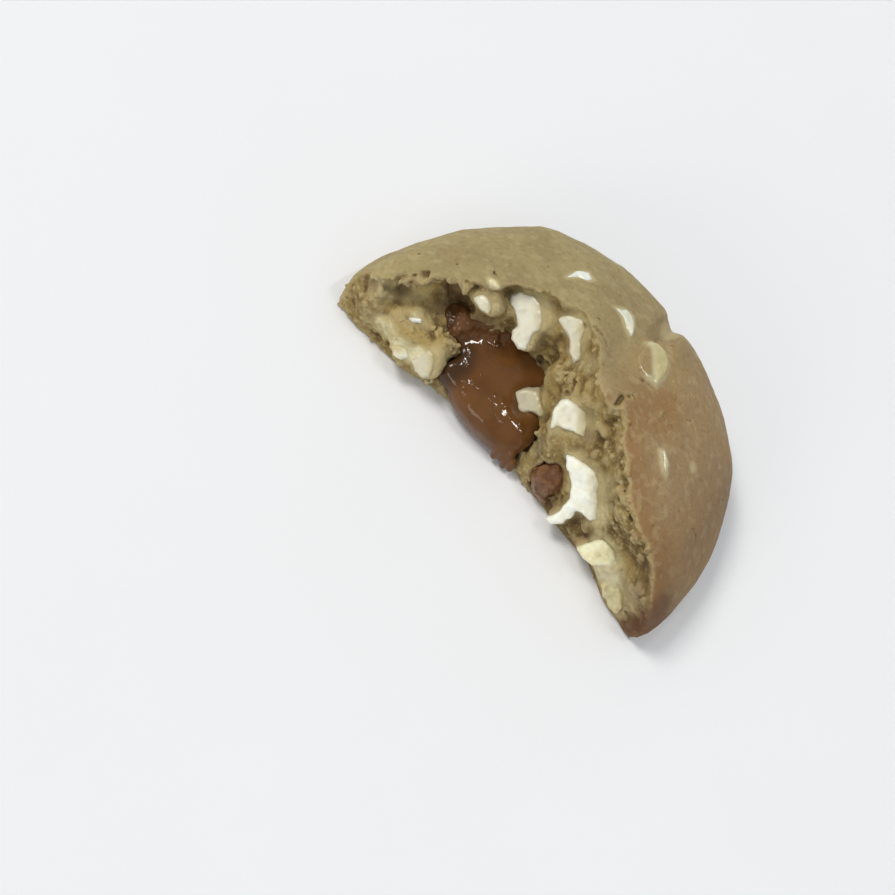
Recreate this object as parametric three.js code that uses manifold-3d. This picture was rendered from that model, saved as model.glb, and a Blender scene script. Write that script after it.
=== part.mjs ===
// Half of a stuffed cookie, broken open by hand and resting on its flat base.
// Millimetres, +Z up. The break runs along X and faces -Y; the round rim is at the back.
import * as THREE from 'three';
import { ImprovedNoise } from 'three/addons/math/ImprovedNoise.js';
import { mergeVertices } from 'three/addons/utils/BufferGeometryUtils.js';
import Module from 'manifold-3d';

// ---- driving dimensions ----
const RADIUS = 52.6; // of the whole cookie, mean
const HEIGHT = 33; // at the middle of the dome
const WIDEST_Z = 7; // height of the widest ring
const BASE_INSET = 2.6; // the base's edge lies this far inside the widest ring
const CENTRE_Y = 3.4; // the whole cookie's middle, behind the middle of the break
const GAP = 0.35; // left between pieces that touch

const DOME_SEGMENTS = 96;
const DOME_ROWS = 16;
const FOOT_ROWS = 3;
const TEAR_CELL = 2.4; // of the grid on the broken surface

// The break seen from above: [x, y] along the base and along the crust
const BASE_EDGE = [
  [-60, -1], [-37, -1.7], [-22, 2], [-15, 3.5], [5, 3.2], [14, 2], [30, 1.6], [42, -2.5], [60, -6],
];
const CRUST_EDGE = [
  [-60, 1], [-46, 1.5], [-43, 7], [-33, 13.5], [-20, 25], [-10, 27.5], [-5, 25], [1, 18],
  [6.5, 14], [12, 15.5], [16, 10], [22, 6], [28, 2.2], [36, 1.4], [46, -2.7], [60, -8],
];
const LEDGE_Z = 12; // top of the chunk that is left standing at the -X end
const POOL_Z = 11; // level of the filling in its basin

const wasm = await Module();
wasm.setup();
const { smoothstep: smooth, lerp } = THREE.MathUtils;

// ---- helpers ----

// Value at x of a line through [x, y] points
function along(points, x) {
  let i = 1;
  while (i < points.length - 1 && points[i][0] < x) {
    i += 1;
  }
  const [x0, y0] = points[i - 1];
  const [x1, y1] = points[i];
  return lerp(y0, y1, THREE.MathUtils.clamp((x - x0) / (x1 - x0), 0, 1));
}

function bell(t, middle, width) {
  return Math.exp(-(((t - middle) / width) ** 2) / 2);
}

const perlin = new ImprovedNoise();

// Smooth noise of about -1 to 1 whose lumps are about `size` across
function lumps(x, y, z, size) {
  return 1.6 * perlin.noise(x / size + 31.4, y / size + 17.7, z / size + 5.3);
}

// Even draw from 0 to 1, the same on every run
function seededRandom(seed) {
  let state = seed;
  return () => {
    state = (state * 1664525 + 1013904223) % 4294967296;
    return state / 4294967296;
  };
}

// Moves each vertex of a geometry with a function that changes the given vector
function shapeVertices(geometry, change) {
  const position = geometry.attributes.position;
  const v = new THREE.Vector3();
  for (let i = 0; i < position.count; i += 1) {
    v.fromBufferAttribute(position, i);
    change(v);
    position.setXYZ(i, v.x, v.y, v.z);
  }
  return geometry;
}

function toSolid(geometry) {
  const bare = geometry.clone();
  bare.deleteAttribute('normal');
  bare.deleteAttribute('uv');
  const merged = mergeVertices(bare, 1e-4);
  const mesh = new wasm.Mesh({
    numProp: 3,
    vertProperties: new Float32Array(merged.attributes.position.array),
    triVerts: new Uint32Array(merged.index.array),
  });
  return new wasm.Manifold(mesh);
}

function toGeometry(solid) {
  const mesh = solid.getMesh();
  const geometry = new THREE.BufferGeometry();
  geometry.setAttribute('position', new THREE.BufferAttribute(mesh.vertProperties, 3));
  geometry.setIndex(new THREE.BufferAttribute(mesh.triVerts, 1));
  geometry.computeVertexNormals();
  return geometry;
}

// The largest piece of a solid: crumbs that a cut leaves loose are dropped
function largest(solid) {
  const pieces = solid.decompose();
  return pieces.reduce((best, piece) => (piece.volume() > best.volume() ? piece : best));
}

// ---- the baked dome ----

// The rim isn't a true circle: it swells at the back and has five shallow lobes
function rimRadius(angle) {
  return RADIUS + 1.9 * Math.sin(angle) + 0.65 * Math.cos(5 * angle - 3.93)
    + 0.9 * bell(angle, 2.25, 0.16);
}

// Height of the smooth crust above (x, y)
function crustHeight(x, y) {
  const share = Math.hypot(x, y - CENTRE_Y) / rimRadius(Math.atan2(y - CENTRE_Y, x));
  return WIDEST_Z + (HEIGHT - WIDEST_Z) * Math.sqrt(Math.max(0, 1 - share * share));
}

// Direction square to the smooth crust above (x, y)
function crustFacing(x, y) {
  const step = 0.5;
  const slopeX = (crustHeight(x + step, y) - crustHeight(x - step, y)) / (2 * step);
  const slopeY = (crustHeight(x, y + step) - crustHeight(x, y - step)) / (2 * step);
  return new THREE.Vector3(-slopeX, -slopeY, 1).normalize();
}

// A soft crease that runs in from a notch in the rim to the break
const CREASE = [[5.5, 50], [3, 40], [-1, 33], [0.5, 24]];
const CREASE_DEPTH = 1.3;
const CREASE_WIDTH = 2.4;

function distanceToLine(points, x, y) {
  let nearest = Infinity;
  for (let i = 1; i < points.length; i += 1) {
    const [ax, ay] = points[i - 1];
    const [bx, by] = points[i];
    const length2 = (bx - ax) ** 2 + (by - ay) ** 2;
    const t = THREE.MathUtils.clamp(((x - ax) * (bx - ax) + (y - ay) * (by - ay)) / length2, 0, 1);
    nearest = Math.min(nearest, Math.hypot(x - ax - t * (bx - ax), y - ay - t * (by - ay)));
  }
  return nearest;
}

// How far the crust stands out of the smooth dome: soft lumps, creases and covered chips
function crustRelief(v) {
  const soft = 0.75 * lumps(v.x, v.y, v.z, 19) + 0.3 * lumps(v.x, v.y, v.z, 8);
  const crease = bell(distanceToLine(CREASE, v.x, v.y), 0, CREASE_WIDTH);
  const coveredChip = 1.3 * bell(Math.hypot(v.x - 8.5, v.y - 45), 0, 3.2);
  const swell = 1.1 * bell(Math.hypot(v.x + 10, v.y - 33), 0, 7);
  return soft + coveredChip + swell - CREASE_DEPTH * crease;
}

function dome() {
  const profile = [new THREE.Vector2(0, 0)];
  for (let i = 0; i <= FOOT_ROWS; i += 1) {
    const angle = (i / FOOT_ROWS) * (Math.PI / 2);
    const inset = BASE_INSET * (1 - Math.sin(angle));
    profile.push(new THREE.Vector2(RADIUS - inset, WIDEST_Z * (1 - Math.cos(angle))));
  }
  for (let i = 1; i <= DOME_ROWS; i += 1) {
    const angle = (i / DOME_ROWS) * (Math.PI / 2);
    const out = i === DOME_ROWS ? 0 : RADIUS * Math.cos(angle);
    profile.push(new THREE.Vector2(out, WIDEST_Z + (HEIGHT - WIDEST_Z) * Math.sin(angle)));
  }
  const geometry = new THREE.LatheGeometry(profile, DOME_SEGMENTS);
  geometry.rotateX(Math.PI / 2);
  const middle = new THREE.Vector3(0, CENTRE_Y, WIDEST_Z);
  return toSolid(shapeVertices(geometry, (v) => {
    const stretch = rimRadius(Math.atan2(v.y, v.x)) / RADIUS;
    v.set(v.x * stretch, v.y * stretch + CENTRE_Y, v.z);
    const out = v.clone().sub(middle).normalize();
    v.addScaledVector(out, crustRelief(v) * smooth(v.z, 0.5, 5));
  }));
}

// ---- the break ----

// How far back the break lies at x and at height z, without its crags
function breakSurface(x, z) {
  const low = along(BASE_EDGE, x);
  const high = along(CRUST_EDGE, x);
  const top = crustHeight(x, high);
  const plain = smooth(z, 0, top);
  const ledge = smooth(x, -50, -44) * (1 - smooth(x, -34, -28));
  const overLedge = 0.3 * smooth(z, 0, LEDGE_Z) + 0.85 * smooth(z, LEDGE_Z, LEDGE_Z + 2.5)
    - 0.15 * smooth(z, top - 4, top);
  const pool = Math.exp(-(((x + 13.5) / 14) ** 4));
  const overPool = 0.78 * smooth(z, 5, POOL_Z) + 0.06 * smooth(z, POOL_Z, 20)
    + 0.16 * smooth(z, 19, top);
  const share = lerp(lerp(plain, overPool, pool), overLedge, ledge);
  return low + (high - low) * share;
}

function crags(x, z) {
  const fade = 0.35 + 0.65 * smooth(z, 0, 5);
  return fade * (1.3 * lumps(x, 40, z, 7.5) + 0.9 * lumps(x, 80, z, 3.6));
}

// Everything in front of the break, as one block with the broken surface at its back
function tornAway() {
  const [wide, deep, tall] = [126, 80, 42];
  const across = Math.round(wide / TEAR_CELL);
  const block = new THREE.BoxGeometry(wide, deep, tall, across, 1, Math.round(tall / TEAR_CELL));
  block.translate(0, 0, tall / 2 - 2);
  return toSolid(shapeVertices(block, (v) => {
    v.y = v.y > 0 ? breakSurface(v.x, v.z) + crags(v.x, v.z) : -deep;
  }));
}

// A rounded lump; `knobbly` is how far its surface stands in and out
function lump({ at, size, detail = 3, boxy = 2, knobbly = 0, grain = 4, tilt = 0 }) {
  const ball = new THREE.IcosahedronGeometry(1, detail);
  shapeVertices(ball, (v) => {
    const reach = Math.abs(v.x) ** boxy + Math.abs(v.y) ** boxy + Math.abs(v.z) ** boxy;
    v.multiplyScalar(1 / reach ** (1 / boxy));
    const out = v.clone().normalize();
    v.multiply(new THREE.Vector3(...size));
    const grown = knobbly * lumps(at[0] + v.x, at[1] + v.y, at[2] + v.z, grain);
    v.addScaledVector(out, grown);
  });
  ball.rotateY(tilt);
  ball.translate(...at);
  return toSolid(ball);
}

const HOLLOWS = [
  { at: [-32.8, 14, 18], size: [4.6, 8, 5.2], detail: 2, knobbly: 0.8 },
  { at: [-41.5, 7, 16.5], size: [5.5, 5, 2.8], detail: 2, knobbly: 0.8, tilt: -0.35 },
];
const CHUNKS = [
  { at: [-34.5, 3, 6.6], size: [11, 4.8, 6.4], detail: 4, knobbly: 1, tilt: 0.12 },
  { at: [-27.5, 6, 9.4], size: [4.2, 4, 3.4], detail: 2, knobbly: 0.8 },
  { at: [-3, 21, 16], size: [5, 5, 5], knobbly: 0.9 },
  { at: [1.5, 18.5, 20.5], size: [4.4, 4.6, 4.2], detail: 2, knobbly: 0.9 },
  { at: [3.8, 10, 10], size: [2.8, 2.6, 2.4], detail: 2, knobbly: 0.7, grain: 2 },
];

// ---- filling ----

const FILLING_LOBES = [
  { at: [-16, 15.5, 6.8], size: [16, 13.5, 4.2], detail: 4, boxy: 3 },
  { at: [-9.5, 7.8, 6.4], size: [11.8, 7.4, 4.3], detail: 4, boxy: 2.6 },
  { at: [-9, 4.2, 5], size: [10.8, 3.6, 4.6], detail: 4, boxy: 2.4 },
  { at: [0.8, 2.9, 2.9], size: [1.9, 1.8, 2.5], detail: 1 },
];
const POCKET = { at: [11.2, 6, 6], size: [3.6, 4.6, 5.6], detail: 3, knobbly: 0.5, grain: 2 };

function grown(shape, by) {
  return { ...shape, size: shape.size.map((s) => s + by) };
}

function filling(by = 0) {
  return FILLING_LOBES.map((lobe) => lump(grown(lobe, by))).reduce((a, b) => a.add(b));
}

// ---- white chocolate chips ----

// Each is a slab: its outline [u, v] is seen square on, at the middle of its front face.
// In the break `faces` is how far that face looks up from level; on the crust it lies flush.
const CHIPS = {
  chip_roof: { at: [-27.6, 13.5, 23.4], faces: 50, thick: 3.4,
    outline: [[-2.8, -0.9], [-2.1, 0.9], [0.3, 1.3], [2.4, 0.7], [2.1, -0.8], [0.1, -1.3]] },
  chip_drip: { at: [-19.2, 20.4, 20.4], faces: 45, thick: 4.5,
    outline: [[-6.1, 1.7], [-5.1, 3.8], [-2.7, 5.6], [0, 5.4], [3.1, 3.4], [4, 1.6], [3.2, -0.4],
      [5.1, -4.2], [3.8, -5.4], [1.2, -5], [0, -3.6], [0.2, -2], [-1.7, -0.9], [-5.3, 0.3]] },
  chip_tall: { at: [-8.8, 24.6, 24.5], faces: 45, thick: 4,
    outline: [[-5.1, 0.1], [-4.8, 2.1], [-1.4, 4.3], [1, 3.2], [2.1, 0.3], [4.8, -2.2],
      [4.2, -3.8], [1.9, -2.9], [-0.1, -1.1]] },
  chip_edge: { at: [-4.3, 14.4, 9], faces: 50, thick: 3.6,
    outline: [[-4.2, -0.8], [-3.5, 1], [-1.2, 3.2], [1, 1.9], [3.6, 1.7], [4.6, 0.1], [2.1, -1.4],
      [-0.7, -3.6], [-2.2, -2.1]] },
  chip_hook: { at: [3.8, 12.1, 19.4], faces: 45, thick: 4.6,
    outline: [[-3.9, 1.1], [-3.2, 2.7], [-1, 3.7], [2, 4.6], [3.8, 3], [5.8, -0.2], [2, -1.5],
      [-0.6, -3.1], [-0.6, -4.8], [-1.6, -4.4], [-3.4, -1.1]] },
  chip_legs: { at: [18, 4, 12.7], faces: 35, thick: 4.4,
    outline: [[-8.2, 4.8], [-7, 5.9], [-3.4, 6.9], [-1.1, 7.4], [1.5, 6.7], [3.6, 4], [7.6, 0],
      [5.9, -1.6], [3.7, -1.7], [2, -2.4], [2.7, -4.5], [2.6, -7], [0.9, -9.2], [-0.8, -9.2],
      [0, -5.8], [-0.3, -1.6], [-4.4, 2.2], [-6.2, 3.4]] },
  chip_melted: { at: [31.6, 0.7, 8.2], faces: 35, thick: 4,
    outline: [[-4.7, -2.9], [-3.8, -0.2], [-2.4, 3.1], [1, 4], [3.4, 2.6], [3.8, 0.2], [2.2, -1.2],
      [0.3, -2.8], [-1.9, -3.3]] },
  chip_end: { at: [40.2, -1.4, 4.2], faces: 35, thick: 3.6,
    outline: [[-3.2, -0.6], [-3.4, 2], [-1.6, 3.3], [1.5, 2.3], [4.2, -0.1], [3.8, -2.4],
      [1.9, -2.8], [-0.7, -2.2]] },
  chip_ledge: { at: [-27.1, 0.1, 9.3], faces: 40, thick: 3.6,
    outline: [[-2.6, -1.9], [-1.9, 0.2], [-1.5, 2.9], [0, 3.5], [1.3, 2.2], [3, -1.1],
      [1.9, -2.6], [-0.3, -2.8]] },
  chip_chunk: { at: [-32.8, -1.4, 7.5], faces: 40, thick: 2.8,
    outline: [[-2.4, -0.6], [-1.8, 1.2], [0.7, 1.3], [2.4, 0.6], [1.2, -1], [-0.5, -1.6]] },
  chip_sliver: { at: [-35.9, 4.2, 12.3], faces: 60, thick: 1.8,
    outline: [[-2, -1.3], [-0.6, 0.7], [1, 1], [1.6, 0.2], [0.2, -0.7]] },
  chip_crescent: { at: [-17.7, 35.7], thick: 2.4,
    outline: [[-2.2, -3.9], [-1.6, 0.2], [0.1, 3.1], [2.4, 1.9], [1.8, -0.1], [-0.2, -1.2]] },
  chip_wedge: { at: [-3.6, 35.6], thick: 3,
    outline: [[-4.2, -0.4], [-2, 2.5], [0.5, 3.1], [2.5, 0.3], [3.2, -2.5], [1.1, -2.3],
      [-1.2, -0.6]] },
  chip_browned: { at: [7.5, 32.9], thick: 3.4,
    outline: [[-3.7, -3], [-4.2, 3], [-3, 5.3], [0, 5.8], [2.4, 4], [4, -0.5], [4.1, -4],
      [1.4, -5.2], [-1.4, -5.2]] },
  chip_streak: { at: [24.8, 15.9], thick: 2,
    outline: [[-2.5, 0.9], [-1.9, 2], [1, 0.6], [2.5, -1.8], [0.9, -1.6]] },
};
const CHIP_PROUD = 1.1; // chips in the break stand out of it
const CRUST_CHIP_PROUD = 0.5; // chips in the crust stand out less
const CHIP_EDGE = 0.45; // worn off each edge
const SOCKET_REACH = 6; // no dough stands in front of a chip
const SOCKET_FLARE = 0.06; // widening for each mm in front

// Places a chip: its own Z looks out of the cookie and its own X runs along the break
function chipFrame({ at, faces }) {
  const onCrust = faces === undefined;
  const tilt = THREE.MathUtils.degToRad(faces ?? 0);
  const out = onCrust ? crustFacing(...at) : new THREE.Vector3(0, -Math.cos(tilt), Math.sin(tilt));
  const right = new THREE.Vector3(1, 0, 0).addScaledVector(out, -out.x).normalize();
  const frame = new THREE.Matrix4().makeBasis(right, out.clone().cross(right), out);
  const front = new THREE.Vector3(at[0], at[1], onCrust ? crustHeight(...at) : at[2]);
  if (onCrust) {
    front.addScaledVector(out, 0.75 * lumps(front.x, front.y, front.z, 19));
  }
  front.addScaledVector(out, onCrust ? CRUST_CHIP_PROUD : CHIP_PROUD);
  return frame.setPosition(front);
}

function chipGeometry({ outline, thick }, by = 0, inFront = 0) {
  const shape = new THREE.Shape(outline.map(([u, v]) => new THREE.Vector2(u, v)));
  const slab = new THREE.ExtrudeGeometry(shape, {
    depth: thick - 2 * CHIP_EDGE + 2 * by + inFront,
    bevelThickness: CHIP_EDGE,
    bevelSize: CHIP_EDGE,
    bevelOffset: by - CHIP_EDGE,
    bevelSegments: 1,
  });
  slab.translate(0, 0, CHIP_EDGE - thick - by);
  return slab;
}

// The room a chip needs in the dough: a little wider than the chip, and opening out in front
function socketOf(chip) {
  const room = chipGeometry(chip, GAP, SOCKET_REACH);
  shapeVertices(room, (v) => {
    const flare = 1 + SOCKET_FLARE * Math.max(0, v.z);
    v.set(v.x * flare, v.y * flare, v.z);
  });
  return toSolid(room.applyMatrix4(chipFrame(chip)));
}

// ---- crumbs of dough that stand out of the break ----

const CRUMBS = 28;
const CRUMB_SEED = 11;
const CRUMB_REACH = [1.1, 2.3]; // smallest and largest radius
const CRUMB_CLEAR = 4.6; // from the middle of a chip
const CRUMB_SPANS = [[8, 48], [-46, -34]]; // along the break

function crumbs() {
  const random = seededRandom(CRUMB_SEED);
  const chips = Object.values(CHIPS).filter((chip) => chip.faces !== undefined);
  const found = [];
  while (found.length < CRUMBS) {
    const span = CRUMB_SPANS[random() < 0.8 ? 0 : 1];
    const x = lerp(span[0], span[1], random());
    const z = lerp(2.5, crustHeight(x, along(CRUST_EDGE, x)) - 0.5, random());
    const y = breakSurface(x, z) + 0.2;
    const r = lerp(CRUMB_REACH[0], CRUMB_REACH[1], random());
    const here = new THREE.Vector3(x, y, z);
    const clear = chips.every(({ at }) => here.distanceTo(new THREE.Vector3(...at)) > CRUMB_CLEAR);
    if (clear) {
      found.push(lump({ at: [x, y, z], size: [r, r, r * 0.85], detail: 1, knobbly: 0.35, grain: 1.5 }));
    }
  }
  return found;
}

// ---- cracks in the crust ----

// Each follows the crust from above: [x, y] points, with its width and depth
const CRACKS = [
  { points: [[-28, 36], [-29.5, 39.5], [-29, 42.5], [-31.5, 46]], wide: 1.2, deep: 1.8 },
  { points: [[0.5, 21], [1, 25], [-0.6, 28.5], [0.4, 32]], wide: 1.8, deep: 3.2 },
  { points: [[6, 11], [8.6, 15], [8, 18.5], [10, 21.5]], wide: 1.6, deep: 2.6 },
  { points: [[15, 22], [17, 24.5], [16.5, 26.5]], wide: 1, deep: 1.2 },
];
// The notch climbs the rim at the back: its heading, and how far up the dome it reaches
const NOTCH = { heading: 1.46, climbs: [-0.1, 0.25, 0.55, 0.85], wide: 4, deep: 3.6 };
const CRACK_STEPS = 8;

function onDome(heading, climb) {
  const out = rimRadius(heading) * Math.cos(climb);
  const z = WIDEST_Z + (HEIGHT - WIDEST_Z) * Math.sin(climb);
  return new THREE.Vector3(out * Math.cos(heading), CENTRE_Y + out * Math.sin(heading), z);
}

function crack({ points, wide, deep }) {
  const path = new THREE.CatmullRomCurve3(points);
  const section = new THREE.Shape([
    new THREE.Vector2(-deep, 0), new THREE.Vector2(0, -wide / 2),
    new THREE.Vector2(deep, 0), new THREE.Vector2(0, wide / 2),
  ]);
  return toSolid(new THREE.ExtrudeGeometry(section, { steps: CRACK_STEPS, extrudePath: path }));
}

function allCracks() {
  const across = CRACKS.map(({ points, ...size }) => crack({
    points: points.map(([x, y]) => new THREE.Vector3(x, y, crustHeight(x, y) + 0.4)),
    ...size,
  }));
  const { heading, climbs, ...size } = NOTCH;
  return [...across, crack({ points: climbs.map((climb) => onDome(heading, climb)), ...size })];
}

// ---- assembly ----

const sockets = Object.values(CHIPS).map(socketOf);

// The table's own space, which nothing reaches into
const table = toSolid(new THREE.BoxGeometry(200, 200, 40).translate(0, 0, -20));

const addAll = (solid, pieces) => pieces.reduce((sum, piece) => sum.add(piece), solid);
const cutAll = (solid, pieces) => pieces.reduce((rest, piece) => rest.subtract(piece), solid);

// The filling lies in the dough, and the chunks of dough lie in the filling
let dough = addAll(dome().subtract(tornAway()), crumbs());
dough = cutAll(dough, [...HOLLOWS.map(lump), ...allCracks()]);
dough = cutAll(dough, [filling(GAP), lump(grown(POCKET, GAP))]);
dough = addAll(dough, CHUNKS.map(lump));
dough = cutAll(dough, [...sockets, table]);

let pool = cutAll(filling(), CHUNKS.map((chunk) => lump(grown(chunk, GAP))));
let pocket = lump(POCKET);
for (const socket of sockets) {
  pool = pool.subtract(socket);
  pocket = pocket.subtract(socket);
}

const MATERIALS = {
  dough: new THREE.MeshStandardMaterial({ color: '#a68c5c', roughness: 0.85 }),
  filling: new THREE.MeshStandardMaterial({ color: '#664526', roughness: 0.25 }),
  whiteChocolate: new THREE.MeshStandardMaterial({ color: '#e6e1c8', roughness: 0.5 }),
};

function node(name, geometry, material) {
  const mesh = new THREE.Mesh(geometry, material);
  mesh.name = name;
  return mesh;
}

const cookie = new THREE.Group();
cookie.add(node('dough', toGeometry(largest(dough)), MATERIALS.dough));
cookie.add(node('filling', toGeometry(largest(pool)), MATERIALS.filling));
cookie.add(node('filling_pocket', toGeometry(largest(pocket)), MATERIALS.filling));
for (const [name, chip] of Object.entries(CHIPS)) {
  const mesh = node(name, chipGeometry(chip), MATERIALS.whiteChocolate);
  mesh.applyMatrix4(chipFrame(chip));
  cookie.add(mesh);
}

// The origin is on the table, under the middle of the box round the whole half
const middle = new THREE.Box3().setFromObject(cookie, true).getCenter(new THREE.Vector3());
const half = new THREE.Group();
cookie.position.set(-middle.x, -middle.y, 0);
half.add(cookie);

export default half;
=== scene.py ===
# Half of a stuffed cookie, broken open and lying on a pale floor in soft light.
# Sizes and places are millimetres in the shared frame: +X along the break, +Y from the break
# to the round rim, +Z up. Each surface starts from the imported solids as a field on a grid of
# small cells, below 0 inside. The tables hold places measured from the break's middle.
import itertools
import math

import bpy
import numpy as np
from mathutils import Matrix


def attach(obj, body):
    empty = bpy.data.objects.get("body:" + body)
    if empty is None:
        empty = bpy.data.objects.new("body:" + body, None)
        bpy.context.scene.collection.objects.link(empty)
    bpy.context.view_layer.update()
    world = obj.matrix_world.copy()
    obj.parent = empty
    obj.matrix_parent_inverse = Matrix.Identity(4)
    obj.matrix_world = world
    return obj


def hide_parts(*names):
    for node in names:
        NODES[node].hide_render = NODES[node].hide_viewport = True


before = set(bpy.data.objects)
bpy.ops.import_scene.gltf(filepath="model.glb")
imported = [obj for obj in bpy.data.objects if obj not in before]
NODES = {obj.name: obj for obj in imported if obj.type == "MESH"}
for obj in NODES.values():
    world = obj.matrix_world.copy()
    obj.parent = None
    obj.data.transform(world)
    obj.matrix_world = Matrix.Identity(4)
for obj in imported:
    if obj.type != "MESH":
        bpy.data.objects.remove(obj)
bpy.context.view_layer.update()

import openvdb as vdb
from mathutils import Matrix, Vector
from mathutils.bvhtree import BVHTree
from numpy.linalg import norm
from numpy.random import default_rng

MM = 0.001

# ---- driving sizes ----
DOUGH_CELL = 0.3
CHIP_CELL = 0.2
FILLING_CELL = 0.25
DOME_RADIUS = 52.6
DOME_HEIGHT = 33.0
WIDEST_Z = 7.0
DOME_BEHIND_BREAK = 3.4  # from the middle of the break to the whole cookie's
BREAK_MIDDLE = np.array([0.2, -26.15, 0.0])
DOME_MIDDLE = BREAK_MIDDLE + [0, DOME_BEHIND_BREAK, WIDEST_Z]
# The side where most chips have melted into the dough, and the side of their feet
MELTING_SIDE = np.array([0.67, 0.65, 0.36])
LOWER_SIDE = np.array([0.74, -0.59, -0.33])
# Chips that have melted into the dough on their upper side instead
MELTED_UPWARDS = ["chip_chunk", "chip_sliver"]

CHIPS_IN_BREAK = [
    "chip_roof", "chip_drip", "chip_tall", "chip_edge", "chip_hook", "chip_legs",
    "chip_melted", "chip_end", "chip_ledge", "chip_chunk", "chip_sliver",
]
CHIPS_IN_CRUST = ["chip_crescent", "chip_wedge", "chip_browned", "chip_streak"]


# ---- fields ----
def smooth(value, low, high):
    share = np.clip((value - low) / (high - low), 0, 1)
    return share * share * (3 - 2 * share)


def joined(a, b, soft):
    """The union of two fields, with a fillet of about `soft` where they meet."""
    near = np.maximum(soft - np.abs(a - b), 0) / soft
    return np.minimum(a, b) - near * near * soft / 4


def cut(a, b, soft):
    return -joined(-a, b, soft)


def points_of(piece):
    co = np.empty(len(piece.data.vertices) * 3, np.float32)
    piece.data.vertices.foreach_get("co", co)
    return co.reshape(-1, 3) / MM


def triangles_of(*names):
    """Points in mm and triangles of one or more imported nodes."""
    points, faces, count = [], [], 0
    for name in names:
        corner = np.empty(len(NODES[name].data.polygons) * 3, np.int32)
        NODES[name].data.polygons.foreach_get("vertices", corner)
        points.append(points_of(NODES[name]))
        faces.append(corner.reshape(-1, 3) + count)
        count += len(points[-1])
    return np.concatenate(points), np.concatenate(faces)


def placed(points):
    """Points that are measured from the break's middle, in the shared frame."""
    return np.array(points) + BREAK_MIDDLE


CORNERS = list(itertools.product((0, 1), repeat=3))  # of a cell


class Grid:
    """A box of cubic cells; a field has one value for each."""

    def __init__(self, low, high, cell):
        self.cell = cell
        self.first = np.floor(np.asarray(low) / cell).astype(int)
        last = np.ceil(np.asarray(high) / cell).astype(int)
        self.shape = tuple(int(n) for n in last - self.first + 1)

    def distance(self, points, faces, reach):
        """Signed distance to closed meshes, known up to `reach`."""
        lattice = vdb.createLinearTransform(voxelSize=self.cell)
        solid = vdb.FloatGrid.createLevelSetFromPolygons(
            points.astype(np.float32), triangles=faces.astype(np.uint32),
            transform=lattice, halfWidth=reach / self.cell,
        )
        field = np.full(self.shape, reach, np.float32)
        solid.copyToArray(field, ijk=tuple(int(n) for n in self.first))
        return field

    def near_surface(self, field, reach):
        """Marks the cells within reach of the surface, and gives their places."""
        near = np.abs(field) < reach
        return near, ((np.argwhere(near) + self.first) * self.cell).astype(np.float32)

    def sample(self, field, points):
        at = np.asarray(points) / self.cell - self.first
        low = np.clip(np.floor(at).astype(int), 0, np.array(self.shape) - 2)
        share = at - low
        total = np.zeros(len(at), np.float32)
        for corner in CORNERS:
            i, j, k = (low + corner).T
            weight = np.prod(np.where(corner, share, 1 - share), axis=1)
            total += weight * field[i, j, k]
        return total

    def window(self, middle, reach):
        """The cells within reach of a point: their slices, and x, y and z from the point."""
        low = np.floor((middle - reach) / self.cell).astype(int) - self.first
        high = np.ceil((middle + reach) / self.cell).astype(int) - self.first + 1
        low, high = np.clip([low, high], 0, self.shape)
        part = tuple(slice(a, b) for a, b in zip(low, high))
        cells = zip(np.ogrid[part], self.first, middle)
        return part, [(cell + first) * self.cell - at for cell, first, at in cells]

    def surface(self, field):
        """The mesh where the field is 0, without loose scraps: points in mm, and quads."""
        grid = vdb.FloatGrid(float(self.cell) * 8)
        grid.copyFromArray(field, ijk=tuple(int(n) for n in self.first))
        grid.transform = vdb.createLinearTransform(voxelSize=self.cell)
        return largest_piece(*grid.convertToQuads(isovalue=0.0))


def largest_piece(points, quads):
    quads = quads.astype(np.int64)
    label = np.arange(len(points))
    while True:
        lowest = label[quads].min(axis=1)
        new = label.copy()
        np.minimum.at(new, quads.ravel(), np.repeat(lowest, 4))
        new = new[new]
        if np.array_equal(new, label):
            break
        label = new
    names, counts = np.unique(label, return_counts=True)
    keep = label == names[np.argmax(counts)]
    renumber = np.cumsum(keep) - 1
    return points[keep], renumber[quads[keep[quads[:, 0]]]]


def blur(field, width):
    """A field averaged with its neighbours; width is in cells."""
    reach = math.ceil(2.5 * width)
    steps = np.arange(-reach, reach + 1)
    weights = np.exp(-0.5 * (steps / width) ** 2)
    weights = (weights / weights.sum()).astype(np.float32)
    for axis in range(3):
        margin = [(reach, reach) if i == axis else (0, 0) for i in range(3)]
        padded = np.pad(field, margin, mode="edge")
        field = np.zeros_like(field)
        for step, weight in enumerate(weights):
            part = [slice(None)] * 3
            part[axis] = slice(step, step + field.shape[axis])
            field += weight * padded[tuple(part)]
    return field


def lumps(points, size, seed):
    """Smooth noise, about -1 to 1, whose lumps are about `size` across."""
    at = (points / size).astype(np.float32)
    base = np.floor(at).astype(np.int32)
    share = at - base
    base -= base.min(axis=0)
    shape = base.max(axis=0) + 2
    leaning = default_rng(seed).normal(size=(*shape, 3))
    leaning /= norm(leaning, axis=-1, keepdims=True)
    leaning = leaning.reshape(-1, 3).astype(np.float32)
    first = (base[:, 0] * shape[1] + base[:, 1]) * shape[2] + base[:, 2]
    eased = share * share * share * (share * (share * 6 - 15) + 10)
    weights = [(1 - eased[:, axis], eased[:, axis]) for axis in range(3)]
    total = np.zeros(len(at), np.float32)
    for i, j, k in CORNERS:
        slope = leaning[first + (i * shape[1] + j) * shape[2] + k]
        slope *= share - np.array([i, j, k], np.float32)
        total += slope.sum(axis=1) * weights[0][i] * weights[1][j] * weights[2][k]
    return 1.6 * total


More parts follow.
